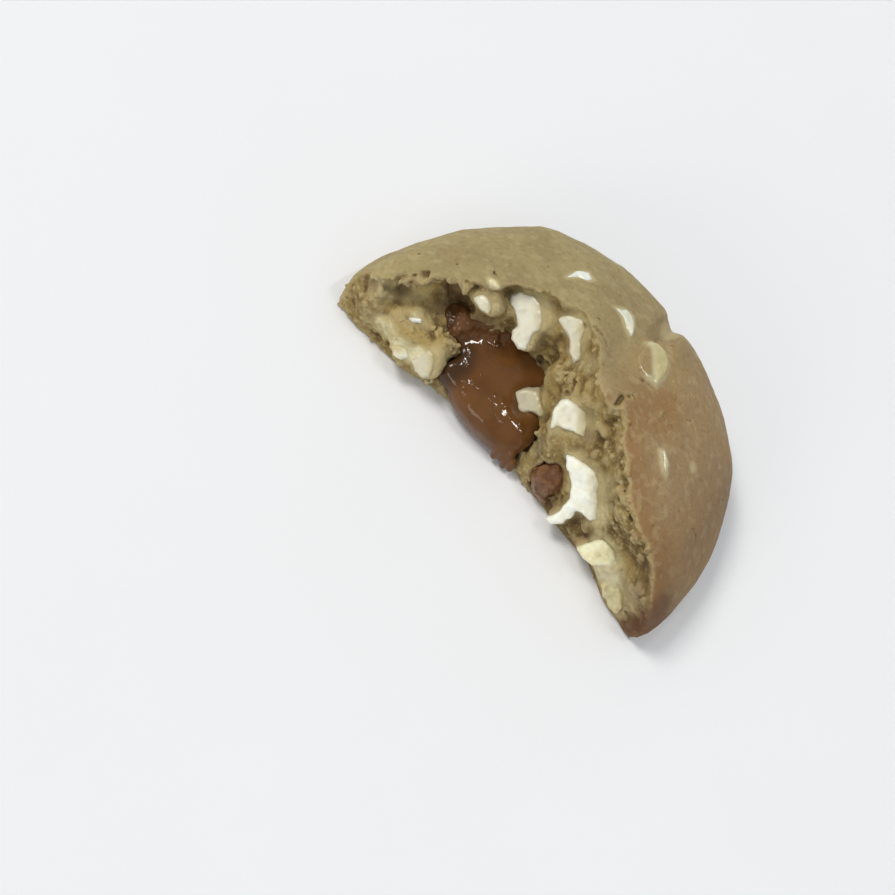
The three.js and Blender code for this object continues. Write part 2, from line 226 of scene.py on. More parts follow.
def granules(points, size, seed):
    """Packed round grains about `size` across: 0.5 on a grain's top, falling to sharp creases."""
    at = points / size
    base = np.floor(at - 0.5).astype(int)
    lowest = base.min(axis=0)
    base -= lowest
    at = (at - lowest).astype(np.float32)
    seeds = default_rng(seed).uniform(0.1, 0.9, (*(base.max(axis=0) + 2), 3))
    seeds = seeds.astype(np.float32)
    nearest = np.full(len(at), 9.0, np.float32)
    for step in CORNERS:
        i, j, k = (base + step).T
        away = at - seeds[i, j, k] - np.stack([i, j, k], axis=1)
        nearest = np.minimum(nearest, np.einsum("ij,ij->i", away, away).astype(np.float32))
    return 0.5 - np.sqrt(nearest)


def above_table(grid, field, clear):
    """A field without what lies less than `clear` above the table."""
    heights = (np.arange(grid.shape[2]) + grid.first[2]) * grid.cell
    return np.maximum(field, clear - heights.astype(np.float32))


def stamp(grid, field, middle, size, soft, hollow=False):
    """Adds an ellipsoid to a field, or takes one out of it."""
    size = np.asarray(size, float)
    part, (x, y, z) = grid.window(middle, size.max() + soft + grid.cell)
    reach = np.sqrt((x / size[0]) ** 2 + (y / size[1]) ** 2 + (z / size[2]) ** 2)
    ball = (reach - 1) * size.min()
    field[part] = (cut if hollow else joined)(field[part], ball, soft)


def stamp_all(grid, field, balls, soft, hollow=False):
    for middle, size in balls:
        stamp(grid, field, placed(middle), size, soft, hollow)


def spike(grid, field, root, tip, thick, thin, soft):
    """Adds a tapered finger that runs from root to tip."""
    root = np.asarray(root)
    for share in np.linspace(0, 1, 9):
        radius = thick + share * (thin - thick)
        stamp(grid, field, root + share * (np.asarray(tip) - root), [radius] * 3, soft)


def scatter(rng, points, faces, count):
    """Evenly drawn places on triangles, and the direction that each faces."""
    a, b, c = (points[faces[:, i]] for i in range(3))
    across = np.cross(b - a, c - a)
    area = norm(across, axis=1)
    pick = rng.choice(len(faces), count, p=area / area.sum())
    u, v = rng.random((2, count, 1))
    u, v = np.where(u + v > 1, 1 - u, u), np.where(u + v > 1, 1 - v, v)
    places = a[pick] + u * (b[pick] - a[pick]) + v * (c[pick] - a[pick])
    return places, across[pick] / area[pick][:, None]


def distance_along(points, line):
    """Distance from points to a line through a few points."""
    nearest = np.full(len(points), np.inf)
    for a, b in zip(line[:-1], line[1:]):
        a, b = np.asarray(a, float), np.asarray(b, float)
        share = np.clip((points - a) @ (b - a) / np.dot(b - a, b - a), 0, 1)
        nearest = np.minimum(nearest, norm(points - a - share[:, None] * (b - a), axis=1))
    return nearest


# ---- the crust's smooth dome ----
def rim_radius(angle):
    """The dome's radius: further at the back, in five waves, with one swelling."""
    return (
        DOME_RADIUS + 1.9 * np.sin(angle) + 0.65 * np.cos(5 * angle - 3.93)
        + 0.9 * np.exp(-((angle - 2.25) / 0.16) ** 2 / 2)
    )


def dome_depth(points):
    """About how far points lie under the smooth crust, above its widest ring."""
    out = points - DOME_MIDDLE
    flat = np.hypot(out[:, 0], out[:, 1])
    rim = rim_radius(np.arctan2(out[:, 1], out[:, 0]))
    up = np.maximum(out[:, 2], 0)
    tall = DOME_HEIGHT - WIDEST_Z
    share = np.sqrt((flat / rim) ** 2 + (up / tall) ** 2)
    steep = np.sqrt((flat / rim ** 2) ** 2 + (up / tall ** 2) ** 2)
    return share * (1 - share) / np.maximum(steep, 1e-4)


def on_crust(x, y):
    """The point of the smooth crust above a place measured from the break's middle."""
    flat = np.array([x, y - DOME_BEHIND_BREAK])
    share = np.hypot(*flat) / rim_radius(np.arctan2(flat[1], flat[0]))
    up = (DOME_HEIGHT - WIDEST_Z) * math.sqrt(max(0.0, 1 - share * share))
    return DOME_MIDDLE + [flat[0], flat[1], up]


def split_faces(points, faces):
    """Marks the triangles that are crust, and those that are broken dough."""
    a, b, c = (points[faces[:, i]] for i in range(3))
    across = np.cross(b - a, c - a)
    facing = across / np.maximum(norm(across, axis=1, keepdims=True), 1e-9)
    middle = (a + b + c) / 3
    out = middle - DOME_MIDDLE
    ball = out / np.array([DOME_RADIUS, DOME_RADIUS, DOME_HEIGHT - WIDEST_Z]) ** 2
    ball[:, 2] = np.maximum(ball[:, 2], 0)
    ball /= norm(ball, axis=1, keepdims=True)
    low = middle[:, 2] < WIDEST_Z + 1
    near_dome = np.where(low, out[:, 1] > -6, np.abs(dome_depth(middle)) < 2.4)
    agrees = np.einsum("ij,ij->i", facing, ball) > np.where(low, 0.6, 0.8)
    base = facing[:, 2] < -0.9
    crust = near_dome & agrees & ~base
    return crust, ~crust & ~base


# ---- meshes ----
def added(name, data):
    """A new object in the scene."""
    thing = bpy.data.objects.new(name, data)
    bpy.context.scene.collection.objects.link(thing)
    return thing


def make_object(name, points, quads, most):
    """A smooth mesh object from points in mm, thinned to `most` triangles."""
    mesh = bpy.data.meshes.new(name)
    mesh.vertices.add(len(points))
    mesh.vertices.foreach_set("co", (points * MM).astype(np.float32).ravel())
    mesh.loops.add(quads.size)
    mesh.loops.foreach_set("vertex_index", quads.astype(np.int32).ravel())
    mesh.polygons.add(len(quads))
    mesh.polygons.foreach_set("loop_start", np.arange(0, quads.size, 4, dtype=np.int32))
    mesh.update(calc_edges=True)
    mesh.validate()
    piece = added(name, mesh)
    if 2 * len(quads) > most:
        thin = piece.modifiers.new("thin", "DECIMATE")
        thin.ratio = most / (2 * len(quads))
        graph = bpy.context.evaluated_depsgraph_get()
        piece.data = bpy.data.meshes.new_from_object(piece.evaluated_get(graph))
        piece.modifiers.clear()
        bpy.data.meshes.remove(mesh)
        piece.data.name = name
    piece.data.shade_smooth()
    return piece


def tag(piece, **values):
    """Stores one value a vertex, which the piece's material reads by name."""
    for name, value in values.items():
        attribute = piece.data.attributes.new(name, "FLOAT", "POINT")
        attribute.data.foreach_set("value", np.asarray(value, np.float32))


def belongs(piece, material, node):
    piece.data.materials.append(material)
    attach(piece, "root")
    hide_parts(node)


# ---- material helpers ----
def srgb(red, green, blue):
    """A screen colour of 0 to 255 as the linear colour that a shader takes."""
    shares = [c / 255 for c in (red, green, blue)]
    linear = [c / 12.92 if c <= 0.04045 else ((c + 0.055) / 1.055) ** 2.4 for c in shares]
    return (*linear, 1.0)


class Shader:
    """A material's nodes, built from the inside out."""

    def __init__(self, name, **uniform):
        self.material = bpy.data.materials.new(name)
        self.material.use_nodes = True
        self.tree = self.material.node_tree
        self.surface = self.tree.nodes["Principled BSDF"]
        for socket, value in uniform.items():
            self.surface.inputs[socket.replace("_", " ")].default_value = value
        self.place = self.tree.nodes.new("ShaderNodeTexCoord").outputs["Object"]

    def node(self, kind, inputs, **settings):
        """A new node; its inputs take values, screen colours or other nodes' outputs."""
        node = self.tree.nodes.new("ShaderNode" + kind)
        for setting, value in settings.items():
            setattr(node, setting, value)
        for socket, value in inputs.items():
            self.feed(node.inputs[socket], value)
        return node

    def feed(self, socket, value):
        if isinstance(value, bpy.types.NodeSocket):
            self.tree.links.new(value, socket)
        else:
            socket.default_value = srgb(*value) if isinstance(value, tuple) else value

    def number(self, name):
        return self.node("Attribute", {}, attribute_name=name).outputs["Fac"]

    def noise(self, size, detail=3.0, rough=0.55):
        """Noise of 0 to 1 with features of `size` mm."""
        given = {
            "Vector": self.place, "Scale": 1 / (size * MM), "Detail": detail, "Roughness": rough,
        }
        return self.node("TexNoise", given).outputs["Fac"]

    def times(self, a, b):
        return self.node("Math", {0: a, 1: b}, operation="MULTIPLY").outputs[0]

    def span(self, value, low, high, start=0.0, end=1.0):
        """Value from low to high, eased to run from start to end."""
        sockets = ("Value", "From Min", "From Max", "To Min", "To Max")
        given = dict(zip(sockets, (value, low, high, start, end)))
        return self.node("MapRange", given, interpolation_type="SMOOTHSTEP").outputs["Result"]

    def mix(self, share, a, b):
        """Colour a turned towards b; the node takes colours at its inputs 6 and 7."""
        return self.node("Mix", {0: share, 6: a, 7: b}, data_type="RGBA").outputs[2]

    def tinted(self, colour, tints):
        """A colour under tints, each with what it follows, its strength or span, and itself."""
        for source, strength, tint in tints:
            noisy = isinstance(source, float)
            share = self.noise(source, detail=4) if noisy else self.number(source)
            eased = isinstance(strength, tuple)
            share = self.span(share, *strength) if eased else self.times(share, strength)
            colour = self.mix(share, colour, tint)
        return colour

    def bump(self, height, tall, under=None):
        """Relief of `tall` mm, on top of other relief where that is given."""
        node = self.node("Bump", {"Distance": tall * MM, "Height": height})
        if under is not None:
            self.feed(node.inputs["Normal"], under)
        return node.outputs["Normal"]

    def finish(self, **linked):
        for socket, value in linked.items():
            self.feed(self.surface.inputs[socket.replace("_", " ")], value)
        return self.material


# ---- dough ----
DETAIL_SEED = 7
BAND = 1.3  # the dough's field is worked on this far either side of its surface
REACH = 2.4  # how far from a packed surface its distance is known
FAR = 12.0  # further than this from the crust or the broken dough counts as this far
EDGE_GRID_CELL = 1.0
DOUGH_IN_POOL = (0.9, 1.0)  # how far under the filling's surface dough starts, and its fillet
CARVING = 2.2  # a groove's depth for each mm of half its width
# Crumbs in the break: how many are tried, smallest and largest radius, how far sunk
CRUMBS = [(500, 0.55, 0.95, 0.5), (4500, 0.3, 0.5, 0.2)]
CRUST_PORES = (130, 0.25, 0.42)  # how many, smallest and largest radius
HAIRLINES = 44
HAIRLINE_STEP = 0.42
# Broken dough lies further than this from what dents the crust
FROM_CHIP_HOLES = 2.2
FROM_NOTCH = 4.5
FROM_CRACKS = 1.6
# Cracks in the crust: points as [x, y], and half the width
CRACKS = [
    ([[-28, 36], [-29.5, 39.5], [-29, 42.5], [-31.5, 46]], 0.32),
    ([[-9.4, 24.2], [-6.5, 26.8], [-4.5, 26.3], [-1.4, 25.9], [1.2, 23.7]], 0.42),
    ([[5.6, 11.6], [5.9, 13.4], [6.4, 14.6]], 0.5),
    ([[8.8, 26.4], [11.6, 27.7], [13.4, 29.4]], 0.35),
    ([[16.6, 29.6], [17.6, 30.9], [17.2, 32.2]], 0.3),
    ([[22.2, 30], [22.9, 31], [23.8, 30.6]], 0.3),
]
# Deep crevices in the break: points, and half the width
CREVICES = [
    ([[-9.4, 26.2, 27.5], [-7.5, 25.4, 29], [-6, 24.6, 29.5]], 0.7),
    ([[-1.8, 17.9, 23.7], [-1.1, 16.4, 23], [-0.4, 15, 22.3], [-0.5, 15.2, 17.5]], 0.6),
    ([[-9.8, 21.6, 11.9], [-7.8, 21.2, 12.2], [-6.2, 19, 14]], 0.9),
    ([[3.1, 9.8, 14.3], [5.4, 9.6, 13.8], [8, 9.2, 15.4]], 0.8),
    ([[-44.9, 3.6, 20.6], [-43, 6.6, 21.6], [-41, 8.4, 22.6]], 0.7),
    ([[11.1, 15, 28.4], [12.2, 13.6, 29.4], [14, 11.6, 28.6]], 0.7),
    ([[24, 5.2, 27.4], [26.4, 3.8, 26.6], [29.6, 2.8, 25.4]], 0.6),
    ([[33, 1.2, 14.6], [35.4, 0.4, 13.2], [37, 0, 12]], 0.5),
]
# Dough that closes the roof's hollow a little, and gaps beside chips: middle, and size
FILLS = [
    ([-42.5, 11.4, 16], [4.8, 3.6, 4.2]), ([-46.4, 7.2, 16], [3, 3, 3.6]),
    ([-31, 19.8, 18], [4, 2.6, 6]), ([-36, 18.2, 18], [5, 3, 6]),
    ([-0.6, 15.6, 9.4], [3.2, 3, 3.6]), ([35.2, 0.9, 5.6], [2.4, 2, 2.4]),
]
# Ragged edges: a line of thin teeth of dough, the way they point, how many, how thick and long,
# and how far past the line each one starts
FRINGES = [
    (
        [[-30.5, 7.3, 11.8], [-28.2, 6.4, 12.9], [-26.4, 5.9, 12.6], [-25, 5.6, 11.4],
         [-24.3, 4.9, 9], [-24.3, 3.4, 7.4]],
        MELTING_SIDE, 18, 0.6, 1.5, -1,
    ),
    (
        [[-45.6, 3.2, 19.4], [-43.4, 5.4, 21], [-41.2, 7.6, 22.5], [-39.1, 9.6, 23.6],
         [-36.4, 11.6, 24.4], [-33.2, 13.3, 25.6]],
        np.array([0.35, -0.15, -0.92]), 26, 0.75, 2.2, 0.7,
    ),
]
NOTCH = [[5.8, 54.5, 1], [5.9, 55.4, 7], [5.7, 53.8, 14], [4.8, 46, 22], [3.9, 38, 26.5]]
# Loose-looking knots of crumb: middle, spread, and how many crumbs
KNOTS = [
    ([2.6, 6.6, 9.4], [2.2, 1.6, 2], 22), ([-29.6, 6.9, 12], [2.6, 0.9, 0.6], 10),
    ([10.2, 2.4, 12], [1.6, 1.2, 1.6], 12), ([-24, 1.6, 2.4], [0.8, 0.5, 0.9], 5),
    ([45.5, -3.2, 4.5], [1.6, 0.6, 1.6], 8),
]
# Where the break is grainy, and where it is smooth: middle, size, and how much
GRAINY_PLACES = [
    ([-48, 1.5, 9], [6, 5, 11], 0.9), ([-24, 5.5, 11], [2.6, 3.6, 4], 0.6),
    ([-31, 7.2, 12.4], [5, 1.8, 2], 0.5), ([-36, -1, 5], [9, 2.5, 4.5], 0.6),
    ([2.8, 6.6, 9], [4, 3.4, 5], 0.9), ([10, 2.5, 8], [3, 3, 8], 0.6),
    ([28, 2, 22], [9, 4, 8], 0.6), ([44, -2.5, 8], [4, 3, 10], 0.8), ([-3, 19, 21], [5, 4, 3], 0.7),
    ([27, -0.5, 3], [7, 2.5, 3.5], 0.7),
]
SMOOTH_PLACES = [
    ([-33.6, 2.6, 12.2], [6.4, 4.2, 4.5], 0.9), ([-39, 9, 14], [4, 3.6, 5], 0.7),
    ([-39.5, -1, 8], [4, 3, 4], 0.6), ([-48.5, 1.5, 9], [6, 5, 12], 0.6), ([49, -1, 5], [4, 5, 9], 0.9),
    ([34.5, -0.5, 7.5], [7.5, 4, 6], 1), ([21, 5, 18], [3.4, 4, 6], 0.7),
    ([-5, 18.5, 14], [3.6, 3.4, 4.5], 0.6), ([9, 8, 17], [4, 4, 5], 0.6),
]
# How dough is drawn up to a chip: how far behind its front, how much wider than it, the
# fillet, and how far past its melted side
HUGS_IN_BREAK = [(1.5, 0.35, 2.2), (0.7, 0.0, 2.0, 1.4)]
HUGS_IN_CRUST = [(0.7, 0.6, 1.0)]
HUGS = {"chip_roof": [(2.1, 1.3, 2.4)], "chip_edge": [(2.4, 0.3, 1.6)]}


def edge_distances(grid, field, points, parts):
    """Distance to each of some sets of triangles, on a coarse grid round the surface."""
    coarse = Grid(
        (grid.first + 1) * grid.cell, (grid.first + np.array(grid.shape) - 2) * grid.cell,
        EDGE_GRID_CELL,
    )
    cells = np.argwhere(np.ones(coarse.shape, bool))
    spots = (cells + coarse.first) * coarse.cell
    near = np.abs(grid.sample(field, spots)) < REACH - 0.1
    cells, spots = cells[near], spots[near]
    found = []
    for part in parts:
        tree = BVHTree.FromPolygons(points.tolist(), part.tolist())
        away = np.full(coarse.shape, FAR, np.float32)
        away[tuple(cells.T)] = [min(FAR, tree.find_nearest(spot)[3]) for spot in spots.tolist()]
        found.append(away)
    return coarse, found


def melting_side(name):
    return -LOWER_SIDE if name in MELTED_UPWARDS else MELTING_SIDE


def facing_of(name):
    """The way a chip's broad front faces."""
    points, faces = triangles_of(name)
    a, b, c = (points[faces[:, i]] for i in range(3))
    across = np.cross(b - a, c - a)
    if name in CHIPS_IN_CRUST:
        outward = points.mean(axis=0) - DOME_MIDDLE
    else:
        outward = np.array([0, -1, 1])
    outward = outward / norm(outward)
    size = norm(across, axis=1)
    front = across[(across @ outward) > 0.75 * size].sum(axis=0)
    return front / norm(front)


class Dough:
    """The dough's field as it is shaped, and how far its cells are from what lies near it."""

    def __init__(self):
        points, faces = triangles_of("dough")
        self.points = points
        self.grid = Grid(points.min(axis=0) - REACH, points.max(axis=0) + REACH, DOUGH_CELL)
        self.field = self.away_from("dough")
        self.chips = self.away_from(*CHIPS_IN_BREAK)
        self.flush = self.away_from(*CHIPS_IN_CRUST)
        self.pool = self.away_from("filling", "filling_pocket")
        self.cracks = [([on_crust(*point) for point in line], half) for line, half in CRACKS]
        crust, torn = split_faces(points, faces)
        middles = points[faces].mean(axis=1)
        torn &= self.grid.sample(self.flush, middles) > FROM_CHIP_HOLES
        torn &= distance_along(middles, placed(NOTCH)) > FROM_NOTCH
        for line, _ in self.cracks:
            torn &= distance_along(middles, line) > FROM_CRACKS
        self.crust, self.torn = faces[crust], faces[torn]
        self.coarse, self.edges = edge_distances(
            self.grid, self.field, points, (self.crust, self.torn),
        )

    def away_from(self, *names):
        return self.grid.distance(*triangles_of(*names), REACH)

    def edge_away(self, spots):
        """How far each spot is from the crust, and from the broken dough."""
        return [self.coarse.sample(away, spots) for away in self.edges]

    def ragged(self, spots):
        """How ragged the break is near the crust's edge, right of its middle."""
        return smooth(self.edge_away(spots)[0], 4.0, 1.0) * smooth(spots[:, 0], -8, 12)


def hug(dough, name, back, wider, soft, aside=0.0):
    """Draws dough up to a chip, `back` behind its front and `aside` past its melted side."""
    grid = dough.grid
    points, faces = triangles_of(name)
    points = points - facing_of(name) * back + melting_side(name) * aside
    local = Grid(points.min(axis=0) - 3, points.max(axis=0) + 3, grid.cell)
    start = np.maximum(local.first, grid.first)
    stop = np.minimum(local.first + local.shape, grid.first + grid.shape)
    if np.any(stop <= start):
        return
    there = tuple(slice(a, b) for a, b in zip(start - grid.first, stop - grid.first))
    here = tuple(slice(a, b) for a, b in zip(start - local.first, stop - local.first))
    ring = local.distance(points, faces, REACH) - wider
    dough.field[there] = joined(dough.field[there], ring[here], soft)


def draw_up_to_chips(dough):
    for name in CHIPS_IN_BREAK + CHIPS_IN_CRUST:
        usual = HUGS_IN_BREAK if name in CHIPS_IN_BREAK else HUGS_IN_CRUST
        for how in HUGS.get(name, usual):
            hug(dough, name, *how)


def add_crumbs(dough):
    """Crumbs that stand out of the break, thickest along the crust's edge, and in knots."""
    rng = default_rng(DETAIL_SEED)
    grid, field = dough.grid, dough.field
    for count, small, large, sunk in CRUMBS:
        places, facing = scatter(rng, dough.points, dough.torn, count)
        sizes = rng.uniform(small, large, (count, 1))
        middles = places - facing * sizes * (sunk + rng.uniform(-0.3, 0.3, (count, 1)))
        shapes = sizes * rng.uniform(0.65, 1.35, (count, 3))
        clear = np.minimum(grid.sample(dough.chips, middles), grid.sample(dough.pool, middles))
        by_edge = dough.ragged(places) * smooth(dough.edge_away(places)[0], 0.3, 1.3)
        knotted = 0.5 * smooth(lumps(places.astype(np.float32), 6, 41), 0.1, 0.45)
        wanted = np.maximum.reduce([by_edge, knotted, around(places, GRAINY_PLACES)])
        wanted = (0.04 + 0.9 * wanted) * (1 - around(places, SMOOTH_PLACES))
        kept = rng.random(count) < wanted
        kept &= (clear > 0.6 * sizes[:, 0]) & (middles[:, 2] > 0.7 * sizes[:, 0])
        for middle, shape in zip(middles[kept], shapes[kept]):
            stamp(grid, field, middle, shape, 0.2 * shape.min())
    for middle, spread, count in KNOTS:
        for _ in range(count):
            at = placed(middle) + rng.normal(size=3) * np.array(spread) * 0.5
            shape = rng.uniform(0.45, 0.95) * rng.uniform(0.7, 1.3, 3)
            stamp(grid, field, at, shape, 0.15)


def add_fringes(dough):
    """Thin teeth of dough, unevenly set along the ragged edges."""
    rng = default_rng(DETAIL_SEED + 2)
    for line, ahead, count, thick, longest, starts in FRINGES:
        line = placed(line)
        for share in rng.uniform(0, len(line) - 1.001, count):
            start = int(share)
            root = line[start] + (share - start) * (line[start + 1] - line[start])
            root = root + rng.normal(size=3) * 0.3
            leaning = ahead + rng.normal(size=3) * 0.35
            width = thick * rng.uniform(0.6, 1.2)
            length = longest * rng.uniform(0.2, 1.0)
            tip = root + (max(starts, 0) + length) * leaning
            spike(dough.grid, dough.field, root + starts * leaning, tip, width, 0.35 * width, 0.4)


def add_pores(dough):
    """Pin holes and short wavering hairline cracks in the crust."""
    rng = default_rng(DETAIL_SEED + 1)
    grid, field = dough.grid, dough.field
    count, small, large = CRUST_PORES
    places, facing = scatter(rng, dough.points, dough.crust, count)
    for place, out in zip(places, facing):
        shape = rng.uniform(small, large) * rng.uniform(0.7, 1.3, 3)
        stamp(grid, field, place + out * 0.1, shape, 0.2, hollow=True)
    places, facing = scatter(rng, dough.points, dough.crust, HAIRLINES)
    for place, out in zip(places, facing):
        ahead = np.cross(out, rng.normal(size=3))
        ahead /= norm(ahead)
        half = rng.uniform(0.2, 0.3)
        for _ in range(rng.integers(4, 11)):
            stamp(grid, field, place + out * 0.05, [half] * 3, 0.12, hollow=True)
            turn = rng.normal(size=3) * 0.45
            ahead = ahead + turn - out * np.dot(out, ahead + turn)
            ahead /= norm(ahead)
            place = place + ahead * HAIRLINE_STEP


def wavering(points, seed):
    """Points shifted by noise, which makes straight lines and even creases waver."""
    broad = np.stack([lumps(points, 4.5, seed + i) for i in range(3)], axis=1)
    fine = np.stack([lumps(points, 1.5, seed + 3 + i) for i in range(3)], axis=1)
    return points + 0.9 * broad + 0.45 * fine


def carve(dough, line, half):
    """Cuts a wavering V-shaped groove along a line."""
    line = np.asarray(line)
    middle = (line.max(axis=0) + line.min(axis=0)) / 2
    part, away = dough.grid.window(middle, np.ptp(line, axis=0).max() / 2 + 3)
    spots = np.stack(np.broadcast_arrays(*away), axis=-1).reshape(-1, 3) + middle
    off = distance_along(wavering(spots, 61), line) / half
    groove = CARVING * half * smooth(off, 1.6, 0.0)
    dough.field[part] += groove.reshape(dough.field[part].shape)


def crumb_relief(spots, smoothed, grainy):
    """Soft lumps, jagged crevices between some of them, and packed grains in places."""
    warped = wavering(spots, 11)
    blocks = 0.5 * lumps(spots, 6, 17) - 0.5 * granules(warped, 3.6, 20)
    pits = 0.55 * granules(warped, 2.3, 22)
    grains = pits - 0.3 * granules(warped, 1.0, 23) + 0.25 * lumps(spots, 1.3, 24)
    shares = (0.3 + 0.7 * grainy) * (1 - 0.8 * smoothed)
    return (1 - smoothed) * blocks + shares * grains


def add_relief(dough):
    """Craggy relief on the broken dough and gentle relief on the crust, off the chips."""
    near, spots = dough.grid.near_surface(dough.field, BAND)
    crust_away, torn_away = dough.edge_away(spots)
    torn = smooth(crust_away - torn_away, -0.8, 1.2)
    relief = np.zeros(len(spots), np.float32)
    broken = torn > 0
    inside = spots[broken]
    grainy = np.maximum(around(inside, GRAINY_PLACES), 0.7 * dough.ragged(inside))
    relief[broken] = torn[broken] * crumb_relief(inside, around(inside, SMOOTH_PLACES), grainy)
    baked = torn < 1
    swells = 0.16 * lumps(spots[baked], 5.5, 3) + 0.07 * lumps(spots[baked], 1.6, 4)
    relief[baked] += (1 - torn[baked]) * swells
    off_chips = smooth(dough.chips[near], -0.4, 0.7) * smooth(dough.flush[near], -0.2, 0.8)
    dough.field[near] += smooth(spots[:, 2], 0.4, 3.5) * off_chips * relief


def shape_dough():
    dough = Dough()
    draw_up_to_chips(dough)
    starts, fillet = DOUGH_IN_POOL
    dough.field = joined(dough.field, dough.pool + starts, fillet)
    stamp_all(dough.grid, dough.field, FILLS, 2.4)
    dough.field = blur(dough.field, 0.45 / DOUGH_CELL)
    add_crumbs(dough)
    add_pores(dough)
    add_fringes(dough)
    for line, half in dough.cracks + [(placed(line), half) for line, half in CREVICES]:
        carve(dough, line, half)
    add_relief(dough)
    dough.field = above_table(dough.grid, dough.field, 0.15)
    return dough


# Where the break is stained by the filling, and where it is pale or ochre. Some pale and
# ochre places are painted light, each marked below.
STAINS = [
    ([-34, 14.5, 16], [4.4, 5.5, 6], 0.75), ([-26, 15.5, 14], [5, 5, 5], 0.6),
    ([13.5, 4, 3.5], [4.5, 4, 4.5], 0.5), ([-43, 6, 14], [2.6, 2.4, 1.6], 0.3),
]
PALES = [
    ([-32.6, -1, 8.8], [5.2, 1.9, 2.4], 0.9), ([-29.8, 0.2, 10], [2.4, 1.8, 2.2], 1),
    # The first place on the next line is a painted highlight: a white line along the chunk's top edge.
    ([-35.7, 4.1, 13.2], [2.6, 0.7, 0.9], 0.9), ([21, 6, 20.5], [3.4, 3, 4.5], 0.3),
    ([-24, 1.6, 2.4], [1.2, 1.2, 1.2], 1),
    ([-29.5, 16.6, 26.4], [2.4, 1.3, 1.3], 1), ([30.6, 23.1, 26.5], [1.4, 1.4, 1.4], 0.45),
    ([5.2, 48, 19.5], [2.6, 5.5, 4.5], 0.45), ([3, 6.6, 9.5], [3, 3, 3], 0.35),
    ([34.5, -0.6, 6.6], [7.5, 3, 4.6], 1), ([25, 4, 16], [2.8, 3, 6], 0.75),
    # The second place on the next line is painted light on the chunk's lower left side, which lies in
    # shade.
    ([-46, 3, 14.5], [4, 4, 3.6], 0.5), ([-39, -1.5, 8], [4.5, 3, 4.5], 0.8),
    ([30.5, 1.5, 11.5], [4.5, 3.5, 3.5], 0.65), ([36.5, 1.5, 9.5], [4, 3, 4], 0.8),
    ([43, -2, 9], [4.5, 3, 5], 0.6), ([-1.9, 20.6, 27.4], [2.4, 2.4, 2.4], 0.4),
    # Painted light in the shaded hollow under the roof.
    ([-42, 8, 15], [4.5, 4.5, 4.5], 0.35),
]
OCHRES = [
    ([-34, 3.5, 12.5], [8, 4.5, 4], 1), ([-5, 21, 15], [6, 6, 6], 0.6),
    # Both places on the next line are partly the dough's own ochre, partly painted light where it lies
    # in shade.
    ([-38, -1, 8], [5, 3, 4.5], 0.8), ([-40.5, 10, 15], [4.5, 4.5, 4.5], 0.8),
    ([13.5, 5, 9], [4, 4, 6], 0.5), ([5, 17, 25], [8, 6, 6], 0.4), ([36, 1, 13], [7, 4, 4], 0.6),
]
# Where the break is darker and browner, and where painted shade darkens it under a chip
UMBERS = [
    ([-43.4, 7.6, 19.4], [5, 3.4, 3.6], 0.35), ([-46.6, 3, 15], [2, 2, 2.4], 0.3),
    ([-44, 6.7, 13.2], [2.2, 2.2, 2.6], 0.5), ([-47.6, 1, 14.1], [1.6, 1.6, 2], 0.5),
    ([-2, 22.6, 26.6], [1.8, 1.8, 2.6], 0.5), ([9.4, 11.6, 20.6], [1.8, 2, 2], 0.5),
]
SHADED = [([21.2, 2.1, 6.3], [3.4, 3.2, 3.4], 1), ([32, 2, 15], [9, 3, 4], 0.6)]


def around(spots, places):
    """How strongly each point lies in soft-edged places."""
    total = np.zeros(len(spots))
    for middle, size, strength in places:
        away = (spots - BREAK_MIDDLE - middle) / size
        total = np.maximum(total, strength * smooth((away ** 2).sum(axis=1), 1.5, 0.3))
    return total


# The chip in the crust that is browned but for its two lower sides
TOASTED_MIDDLE = [7.0, 31.0, 29.0]


def toasting(spots):
    """How browned the crust and the chip are near the browned chip."""
    off = spots - BREAK_MIDDLE - TOASTED_MIDDLE
    clear = np.maximum(off @ MELTING_SIDE - 1.2, off @ LOWER_SIDE - 2.6)
    return smooth(clear, 0.7, -0.9) * smooth(norm(off, axis=1), 7, 4)


# Tints of the crust, and of the crumb: each follows a value of the vertices or noise of a size
# in mm, by a strength or a span. The tints that follow "sunk", "deep" and "low" are painted light
# and shade: paler on raised crumbs, darker in pits, cracks and hollows, on the lower crumb towards
# +X and under chips.
CRUST_TINTS = [
    ("ridge", 0.9, (150, 113, 67)), (1.1, (0.45, 0.75, 0, 0.4), (122, 94, 58)),
    # The "sunk" tint on the next line is painted shade in the crust's pits, pores and cracks.
    (2.6, (0.35, 0.5, 0.3, 0), (192, 174, 130)), ("sunk", (0.05, 0.25, 0, 0.8), (92, 66, 38)),
    ("toasted", 0.6, (160, 134, 88)), ("window", 0.8, (200, 186, 142)),
]
CRUMB_TINTS = [
    # The "low" tint on the next line is painted shade on the lower crumb towards +X and under chips.
    ("low", 0.8, (106, 87, 45)), ("ochre", 0.85, (190, 164, 99)), ("edge", 0.65, (178, 154, 104)),
    (1.7, (0.52, 0.74, 0, 0.5), (202, 182, 132)), (2.4, (0.32, 0.46, 0.5, 0), (112, 84, 44)),
    # The "sunk" tints on the next line are painted light on raised crumbs and painted shade in pits.
    ("sunk", (-0.16, 0, 0.45, 0), (200, 184, 140)), ("sunk", (0, 0.2, 0, 0.8), (98, 74, 38)),
    # The "deep" tint on the next line is painted shade in the break's larger hollows.
    ("deep", (0.3, 1.5, 0, 0.3), (104, 78, 42)), (0.7, (0.52, 0.72, 0, 0.45), (196, 174, 122)),
    (0.9, (0.3, 0.46, 0.45, 0), (108, 82, 44)),
]


